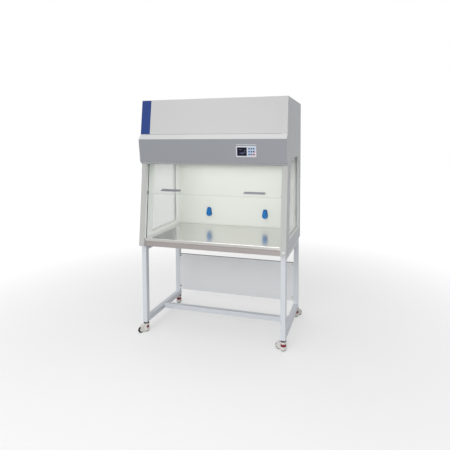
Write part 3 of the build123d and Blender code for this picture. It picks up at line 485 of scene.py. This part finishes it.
screw_head = bpy.data.objects.new("screw_head", head_mesh("screw_head"))
screw_tree = bpy.data.node_groups.new("set_screws", "GeometryNodeTree")
screw_face = screw_tree.interface
screw_face.new_socket("Geometry", in_out="INPUT", socket_type="NodeSocketGeometry")
screw_inputs = {}
for label, kind in (
    ("Head", "NodeSocketObject"),
    ("Radius", "NodeSocketFloat"),
    ("Height", "NodeSocketFloat"),
    ("Finish", "NodeSocketMaterial"),
):
    screw_inputs[label] = screw_face.new_socket(label, in_out="INPUT", socket_type=kind).identifier
screw_face.new_socket("Geometry", in_out="OUTPUT", socket_type="NodeSocketGeometry")
tree_in = screw_tree.nodes.new("NodeGroupInput")
tree_out = screw_tree.nodes.new("NodeGroupOutput")
head_info = screw_tree.nodes.new("GeometryNodeObjectInfo")
facing_name = screw_tree.nodes.new("GeometryNodeInputNamedAttribute")
facing_name.data_type = "FLOAT_VECTOR"
facing_name.inputs["Name"].default_value = "facing"
turn_out = screw_tree.nodes.new("FunctionNodeAlignRotationToVector")
turn_out.axis = "Z"
head_scale = screw_tree.nodes.new("ShaderNodeCombineXYZ")
set_heads = screw_tree.nodes.new("GeometryNodeInstanceOnPoints")
make_real = screw_tree.nodes.new("GeometryNodeRealizeInstances")
give_finish = screw_tree.nodes.new("GeometryNodeSetMaterial")
wire = screw_tree.links.new
wire(tree_in.outputs["Geometry"], set_heads.inputs["Points"])
wire(tree_in.outputs["Head"], head_info.inputs["Object"])
wire(head_info.outputs["Geometry"], set_heads.inputs["Instance"])
wire(facing_name.outputs["Attribute"], turn_out.inputs["Vector"])
wire(turn_out.outputs["Rotation"], set_heads.inputs["Rotation"])
wire(tree_in.outputs["Radius"], head_scale.inputs["X"])
wire(tree_in.outputs["Radius"], head_scale.inputs["Y"])
wire(tree_in.outputs["Height"], head_scale.inputs["Z"])
wire(head_scale.outputs[0], set_heads.inputs["Scale"])
wire(set_heads.outputs["Instances"], make_real.inputs["Geometry"])
wire(make_real.outputs["Geometry"], give_finish.inputs["Geometry"])
wire(tree_in.outputs["Finish"], give_finish.inputs["Material"])
wire(give_finish.outputs["Geometry"], tree_out.inputs["Geometry"])


def made_solid(thing, tree, values):
    """The plain mesh that a Geometry Nodes tree makes of a thing, which is then taken away."""
    modifier = thing.modifiers.new("make", "NODES")
    modifier.node_group = tree
    for identifier, value in values.items():
        modifier[identifier] = value
    graph = bpy.context.evaluated_depsgraph_get()
    mesh = bpy.data.meshes.new_from_object(thing.evaluated_get(graph), depsgraph=graph)
    bpy.data.objects.remove(thing)
    return mesh


def fixings(name, body, metal, head, places):
    """Screw heads of one kind on one body.

    head is their radius and height; a place is a point and the way the head there faces.
    """
    points = bpy.data.meshes.new(name)
    points.from_pydata([point for point, facing in places], [], [])
    ways = points.attributes.new("facing", "FLOAT_VECTOR", "POINT")
    for index, (point, facing) in enumerate(places):
        ways.data[index].vector = facing
    seed = bpy.data.objects.new(f"{name}_points", points)
    scene.collection.objects.link(seed)
    values = {
        screw_inputs["Head"]: screw_head,
        screw_inputs["Radius"]: head[0],
        screw_inputs["Height"]: head[1],
        screw_inputs["Finish"]: metal,
    }
    new_piece(name, made_solid(seed, screw_tree, values), metal, body)


post_lean = radians(5.5)
cabinet_front, cabinet_base = -0.345, 0.743
post_out = (0, -cos(post_lean), sin(post_lean))
post_screw_x, post_screw_z = 0.599, 0.770
post_screw_y = cabinet_front + (post_screw_z - cabinet_base) * tan(post_lean)
screw_zinc = finish("screw_zinc", (196, 197, 196), 0.32, 400, tone=0.06, Metallic=0.6)
post_head, cover_head, panel_head = (0.0095, 0.0028), (0.0055, 0.0022), (0.007, 0.004)
fixings(
    "post_screws", "cabinet", screw_zinc, post_head,
    [((side * post_screw_x, post_screw_y, post_screw_z), post_out) for side in (-1, 1)],
)
rear_face_y = 0.345
cover_screw_x, cover_screw_low, cover_screw_high = 0.562, 0.78, 1.93
cover_columns, cover_rows = 5, 6
cover_places = []
for column in range(cover_columns):
    for row in range(cover_rows):
        if column in (0, cover_columns - 1) or row in (0, cover_rows - 1):
            across = cover_screw_x * (2 * column / (cover_columns - 1) - 1)
            height = cover_screw_low + (cover_screw_high - cover_screw_low) * row / (cover_rows - 1)
            cover_places.append(((across, rear_face_y, height), (0, 1, 0)))
fixings("rear_cover_screws", "cabinet", screw_zinc, cover_head, cover_places)
dark_bolt = finish("dark_bolt", (58, 54, 58), 0.5, 400, tone=0.08, Metallic=0.3)
rear_bolt_x, rear_bolt_front_y, rear_bolt_rises = 0.562, 0.281, (0.180, 0.487)
fixings(
    "rear_panel_dark_bolts", "cabinet", dark_bolt, panel_head,
    [((-rear_bolt_x, rear_bolt_front_y, height), (0, -1, 0)) for height in rear_bolt_rises],
)
fixings(
    "rear_panel_bolts", "cabinet", screw_zinc, panel_head,
    [((rear_bolt_x, rear_bolt_front_y, height), (0, -1, 0)) for height in rear_bolt_rises],
)


# --- Side panels and windows ---------------------------------------------------------------------
# Each side is folded round its window and painted grey outside. Its faces towards the chamber are near-white,
# painted light from the chamber lamp. The post's front face below the head is a slightly darker, warmer grey,
# painted shade under the head's overhang. The fixed pane is held between two pale rubber beads that run round
# the opening.
side_paint_and_painted_light = finish("side_paint_and_painted_light", (200, 203, 207), 0.42, orange_peel, tone=0.015)
inside_reach, chamber_front, chamber_rear = 0.6185, -0.4132, 0.3445
# Painted light: the faces towards the chamber are near-white, for the chamber lamp shining on them.
post_face = 0.4158
tint(
    side_paint_and_painted_light,
    (244, 247, 244),
    [
        ((1, 0, 0), -inside_reach),
        ((-1, 0, 0), -inside_reach),
        ((0, 1, -tan(post_lean)), chamber_front),
        ((0, -1, 0), -chamber_rear),
    ],
)
# Painted shade: the post's front face below the head is a little darker and warmer, for the shade under the
# head's overhang.
tint(side_paint_and_painted_light, (198, 199, 197), [((0, -1, tan(post_lean)), post_face), ((0, 0, -1), -foot_z)])
coat(side_paint_and_painted_light, "left_side_panel", "right_side_panel")


def glass(name, tint_colour, blend, face_alpha, slant_alpha):
    """Clear glass as a thin tinted film: little of it shows face on, more at a slant.

    blend is how soon the slant's share takes over as the glass turns away.
    """
    material = bpy.data.materials.new(name)
    material.use_nodes = True
    tree = material.node_tree
    shader = tree.nodes["Principled BSDF"]
    shader.inputs["Base Color"].default_value = (*tint_colour, 1)
    shader.inputs["IOR"].default_value = 1.5
    facing = tree.nodes.new("ShaderNodeLayerWeight")
    facing.inputs["Blend"].default_value = blend
    film = tree.nodes.new("ShaderNodeMapRange")
    film.inputs["To Min"].default_value = face_alpha
    film.inputs["To Max"].default_value = slant_alpha
    smear = tree.nodes.new("ShaderNodeTexNoise")
    smear.inputs["Scale"].default_value = 9
    polish = tree.nodes.new("ShaderNodeMapRange")
    polish.inputs["To Min"].default_value = 0.02
    polish.inputs["To Max"].default_value = 0.07
    place = tree.nodes.new("ShaderNodeTexCoord")
    tree.links.new(place.outputs["Object"], smear.inputs["Vector"])
    tree.links.new(smear.outputs["Fac"], polish.inputs["Value"])
    tree.links.new(polish.outputs[0], shader.inputs["Roughness"])
    tree.links.new(facing.outputs["Facing"], film.inputs["Value"])
    tree.links.new(film.outputs[0], shader.inputs["Alpha"])
    return material


window_glass = glass("window_glass", (0.64, 0.67, 0.65), blend=0.8, face_alpha=0.06, slant_alpha=0.44)
coat(window_glass, "left_side_glass", "right_side_glass")

bead_tree = bpy.data.node_groups.new("run_bead", "GeometryNodeTree")
bead_face = bead_tree.interface
bead_face.new_socket("Geometry", in_out="INPUT", socket_type="NodeSocketGeometry")
bead_inputs = {}
for label, kind in (
    ("Radius", "NodeSocketFloat"),
    ("Corner", "NodeSocketFloat"),
    ("Finish", "NodeSocketMaterial"),
):
    bead_inputs[label] = bead_face.new_socket(label, in_out="INPUT", socket_type=kind).identifier
bead_face.new_socket("Geometry", in_out="OUTPUT", socket_type="NodeSocketGeometry")
bead_in = bead_tree.nodes.new("NodeGroupInput")
bead_out = bead_tree.nodes.new("NodeGroupOutput")
bead_path = bead_tree.nodes.new("GeometryNodeMeshToCurve")
bead_corner = bead_tree.nodes.new("GeometryNodeFilletCurve")
bead_section = bead_tree.nodes.new("GeometryNodeCurvePrimitiveCircle")
bead_section.inputs["Resolution"].default_value = 10
bead_sweep = bead_tree.nodes.new("GeometryNodeCurveToMesh")
bead_real = bead_tree.nodes.new("GeometryNodeRealizeInstances")
bead_finish = bead_tree.nodes.new("GeometryNodeSetMaterial")
wire = bead_tree.links.new
wire(bead_in.outputs["Geometry"], bead_path.inputs["Mesh"])
wire(bead_path.outputs["Curve"], bead_corner.inputs["Curve"])
wire(bead_in.outputs["Corner"], bead_corner.inputs["Radius"])
wire(bead_corner.outputs["Curve"], bead_sweep.inputs["Curve"])
wire(bead_in.outputs["Radius"], bead_section.inputs["Radius"])
wire(bead_section.outputs["Curve"], bead_sweep.inputs["Profile Curve"])
wire(bead_sweep.outputs["Mesh"], bead_real.inputs["Geometry"])
wire(bead_real.outputs["Geometry"], bead_finish.inputs["Geometry"])
wire(bead_in.outputs["Finish"], bead_finish.inputs["Material"])
wire(bead_finish.outputs["Geometry"], bead_out.inputs["Geometry"])


def beads(name, body, material, radius, corner, loops):
    """Round beads of one kind along closed loops of points."""
    path = bpy.data.meshes.new(name)
    points, edges = [], []
    for loop in loops:
        start = len(points)
        points += loop
        edges += [(start + index, start + (index + 1) % len(loop)) for index in range(len(loop))]
    path.from_pydata(points, edges, [])
    seed = bpy.data.objects.new(f"{name}_path", path)
    scene.collection.objects.link(seed)
    values = {bead_inputs["Radius"]: radius, bead_inputs["Corner"]: corner, bead_inputs["Finish"]: material}
    new_piece(name, made_solid(seed, bead_tree, values), material, body)


window_low, window_high, window_rear = 0.838, 1.480, 0.262
post_depth = 0.123
bead_radius, bead_inset, bead_corner, bead_bite = 0.003, 0.0025, 0.0095, 0.1
pane_x, pane_half = 0.5975, 0.0025


def window_loop(x):
    """The window's outline at one X, drawn in so that the bead touches its edge."""
    low, high = window_low + bead_inset, window_high - bead_inset
    post_fronts = [cabinet_front + (height - cabinet_base) * tan(post_lean) for height in (low, high)]
    fronts = [post_front + post_depth + bead_inset for post_front in post_fronts]
    rear = window_rear - bead_inset
    return [(x, rear, low), (x, fronts[0], low), (x, fronts[1], high), (x, rear, high)]


bead_rubber = finish("bead_rubber", (240, 243, 240), 0.55, 500, tone=0.03)
bead_reach = pane_half + bead_radius * (1 - bead_bite)
window_loops = [window_loop(side * (pane_x + face * bead_reach)) for side in (-1, 1) for face in (-1, 1)]
beads("window_beads", "cabinet", bead_rubber, bead_radius, bead_corner, window_loops)


# --- Sash ------------------------------------------------------------------------------------------
# Toughened glass in black plastic channels let into the posts. Two folded aluminium pulls are bonded
# to it, its lower edge is ground, and a rubber block at each lower corner takes the stop.
sash_glass_finish = glass(
    "sash_glass_finish", (0.70, 0.72, 0.70), blend=0.35, face_alpha=0.03, slant_alpha=0.30
)
coat(sash_glass_finish, "sash_glass")
black_plastic = finish("black_plastic", (56, 60, 62), 0.5, 600, tone=0.1)
handle_grain = (4, 300, 300)
handle_grey = finish(
    "handle_grey", (128, 130, 136), 0.35, 1.0, handle_grain,
    tone=0.05, spread=0.06, relief=0.00003, Metallic=0.35,
)
coat(black_plastic, "sash_guides")
coat(handle_grey, "left_sash_handle", "right_sash_handle")

sash_setback, sash_foot_z = 0.035, 1.172
sash_y = cabinet_front + sash_setback + (sash_foot_z - cabinet_base) * tan(post_lean)
sash_up, sash_out = Vector((0, sin(post_lean), cos(post_lean))), Vector(post_out)
sash_seat = seat_at((0, sash_y, sash_foot_z), sash_up, sash_out)
glass_face = 0.0025
block_size, block_thickness, block_x, block_lift = (0.006, 0.022), 0.008, 0.5715, 0.001
block_corner, block_edge = 0.002, 0.001
block_rubber = finish("block_rubber", (30, 31, 34), 0.6, 500, tone=0.1, relief=0.0002)
for side_name, side in (("left", -1), ("right", 1)):
    block_place = (side * block_x, block_size[1] / 2 + block_lift, glass_face)
    block_seat = sash_seat @ Matrix.Translation(block_place)
    block_name = f"{side_name}_sash_block"
    new_piece(
        block_name,
        plate_mesh(block_name, block_seat, block_size, block_thickness, block_corner, block_edge),
        block_rubber,
        "sash",
    )
strip_finish = finish("edge_strip_finish", (206, 200, 202), 0.3, 300, tone=0.03)
strip_size, strip_rise = (1.118, 0.0028), 0.0022
strip_thickness, strip_corner, strip_edge = 0.0012, 0.001, 0.0004
strip_seat = sash_seat @ Matrix.Translation((0, strip_rise, glass_face))
new_piece(
    "sash_edge_strip",
    plate_mesh("sash_edge_strip", strip_seat, strip_size, strip_thickness, strip_corner, strip_edge),
    strip_finish,
    "sash",
)


# --- Work chamber: back wall, worktop, base tray, diffuser -----------------------------------------
# The back wall is a pale satin liner. The worktop is one stainless sheet, brushed across the width and
# polished enough to mirror the wall. Its front lip below the top face is darker, painted shade that tones
# down the key light's reflection there. The tray's front under its lip is the duller apron.
brush = (3, 260, 260)
worktop_face_z, lip_blend = 0.8075, 0.001
chamber_liner = finish("chamber_liner", (226, 230, 223), 0.5, orange_peel, tone=0.012)
brushed_stainless = finish(
    "brushed_stainless", (228, 226, 225), 0.2, 1.0, brush,
    tone=0.05, spread=0.05, relief=0.00002, Metallic=1.0,
)
# Painted shade: the lip below the worktop's face is darker, against its reflection of the key light.
tint(brushed_stainless, (186, 184, 181), [((0, 0, -1), -worktop_face_z)], lip_blend)
apron_stainless = finish(
    "apron_stainless", (164, 157, 156), 0.42, 1.0, brush,
    tone=0.06, spread=0.08, relief=0.00004, Metallic=0.4,
)
coat(chamber_liner, "back_wall", "diffuser_screen")
coat(brushed_stainless, "worktop")
coat(apron_stainless, "base_tray")


# --- Air path: plenum, filters, blower -------------------------------------------------------------
# Galvanised sheet for the plenum and the scroll, glass-paper pleats in a frame, an open fibre pad, a
# sheet-steel fan and a cast motor. All of it sits in the head, between the intake and the screen.
galvanised_sheet = finish("galvanised_sheet", (178, 181, 183), 0.4, 60, tone=0.14, spread=0.12, Metallic=0.7)
filter_media = finish("filter_media", (240, 240, 234), 0.9, 900, tone=0.03, relief=0.0003)
prefilter_pad = finish("prefilter_pad", (216, 219, 220), 0.95, 800, tone=0.12, relief=0.002)
fan_steel = finish("fan_steel", (128, 131, 134), 0.38, 90, tone=0.12, Metallic=0.8)
motor_cast = finish("motor_cast", (62, 66, 70), 0.55, 500, tone=0.1, relief=0.0004)
coat(galvanised_sheet, "plenum_box", "blower_housing")
coat(filter_media, "hepa_filter")
coat(prefilter_pad, "prefilter")
coat(fan_steel, "blower_wheel")
coat(motor_cast, "blower_motor")


# --- Lamp ----------------------------------------------------------------------------------------
# White enamelled reflector tray at the rear of the chamber's ceiling, with two phosphor-coated tubes
# in their holders.
lamp_reflector = finish("lamp_reflector", (236, 236, 234), 0.2, 300, tone=0.01)
lamp_tube = finish("lamp_tube", (244, 246, 248), 0.2, 200, tone=0.01)
coat(lamp_reflector, "lamp_tray")
coat(lamp_tube, "lamp_tubes")


# --- Sockets -------------------------------------------------------------------------------------
# Moulded blue splash-proof sockets: a matt body, a dark insert with the rims of its two pin holes, and
# a glossier flip lid that hangs over them.
socket_body = finish("socket_body", (0, 84, 150), 0.42, 500, tone=0.05, Specular_IOR_Level=0.3)
socket_blue = finish("socket_blue", (0, 108, 182), 0.28, 500, tone=0.05, Specular_IOR_Level=0.3)
coat(socket_body, "left_socket", "right_socket")
coat(socket_blue, "left_socket_lid", "right_socket_lid")

left_socket_x, right_socket_x, socket_z = -0.260, 0.297, 0.936
recess_y = 0.295
insert_sides, pin_sides = 32, 16
insert_grey = finish("insert_grey", (64, 66, 70), 0.5, 500, tone=0.05)
insert_radii, insert_depth = (0.0185, 0.0178), 0.0016
pin_radii, pin_depth, pin_reach = (0.0032, 0.0026), 0.0006, 0.0095


def disc_on(work, sides, radii, depth, place):
    """A low capped cone standing on a place, facing +Z."""
    points = bmesh.ops.create_cone(
        work, cap_ends=True, segments=sides, radius1=radii[0], radius2=radii[1], depth=depth
    )["verts"]
    bmesh.ops.translate(work, verts=points, vec=(place[0], place[1], place[2] + depth / 2))


for side_name, socket_x in (("left", left_socket_x), ("right", right_socket_x)):
    insert_work = bmesh.new()
    facing = Matrix.Translation((socket_x, recess_y, socket_z)) @ Matrix.Rotation(pi / 2, 4, "X")
    disc_on(insert_work, insert_sides, insert_radii, insert_depth, (0, 0, 0))
    for pin_side in (-1, 1):
        disc_on(insert_work, pin_sides, pin_radii, pin_depth, (pin_side * pin_reach, 0, insert_depth))
    insert_work.transform(facing)
    insert_mesh = bpy.data.meshes.new(f"{side_name}_socket_insert")
    insert_work.to_mesh(insert_mesh)
    insert_work.free()
    new_piece(f"{side_name}_socket_insert", insert_mesh, insert_grey, "cabinet")


# --- Stand ---------------------------------------------------------------------------------------
# Square steel tube welded to two frames and a cross bar, powder coated off-white, with a folded rear panel
# between the rear legs. The panel's top edge above its fold is dark grey, a painted shadow for the gap under
# its top flange. A small coated weld bead runs round each end of the cross bar.
stand_paint = finish("stand_paint", (225, 230, 236), 0.45, orange_peel, tone=0.015)
panel_paint_and_shade = finish("rear_panel_paint", (240, 242, 244), 0.45, orange_peel, tone=0.012)
rear_panel_fold_z = 0.5025
# Painted shadow: the rear panel's top edge above its fold is dark grey, for the shade in the gap under its
# top flange.
tint(panel_paint_and_shade, (120, 122, 128), [((0, 0, 1), rear_panel_fold_z)])
coat(stand_paint, "left_leg_frame", "right_leg_frame", "cross_bar")
coat(panel_paint_and_shade, "rear_panel")

bar_z, bar_half, leg_inner_x = 0.104, 0.020, 0.573
weld_radius, weld_corner, weld_reach = 0.0018, 0.003, 0.0006
weld_corners = ((1, -1), (1, 1), (-1, 1), (-1, -1))
weld_loops = []
for side in (-1, 1):
    x = side * (leg_inner_x - weld_reach)
    weld_ring = [(bar_half * across, bar_z + bar_half * rise) for across, rise in weld_corners]
    weld_loops.append([(x, y, z) for y, z in weld_ring])
beads("weld_beads", "cabinet", stand_paint, weld_radius, weld_corner, weld_loops)


# --- Levelling casters ---------------------------------------------------------------------------
# Off-white nylon housings on dark turned stems that screw into the legs, with black nylon wheels. A
# maroon dial in each housing's window drives a rubber-soled foot up and down.
caster_plastic = finish("caster_plastic", (228, 225, 221), 0.45, 500, tone=0.03)
wheel_nylon = finish("wheel_nylon", (30, 30, 32), 0.5, 500, tone=0.1, Specular_IOR_Level=0.25)
dial_red = finish("dial_red", (140, 42, 60), 0.42, 500, tone=0.1)
foot_rubber = finish("foot_rubber", (46, 50, 50), 0.8, 700, tone=0.1, relief=0.0003)
stem_steel = finish("stem_steel", (74, 62, 68), 0.4, 300, tone=0.1, Metallic=0.5)
coat(stem_steel, "caster_stems")
for place in ("front_left", "front_right", "rear_left", "rear_right"):
    coat(caster_plastic, f"{place}_caster_housing")
    coat(wheel_nylon, f"{place}_caster_wheel")
    coat(dial_red, f"{place}_caster_dial")
    coat(foot_rubber, f"{place}_caster_foot")


# --- Close ---------------------------------------------------------------------------------------
# The pattern for the screw heads goes.
bpy.data.objects.remove(screw_head)
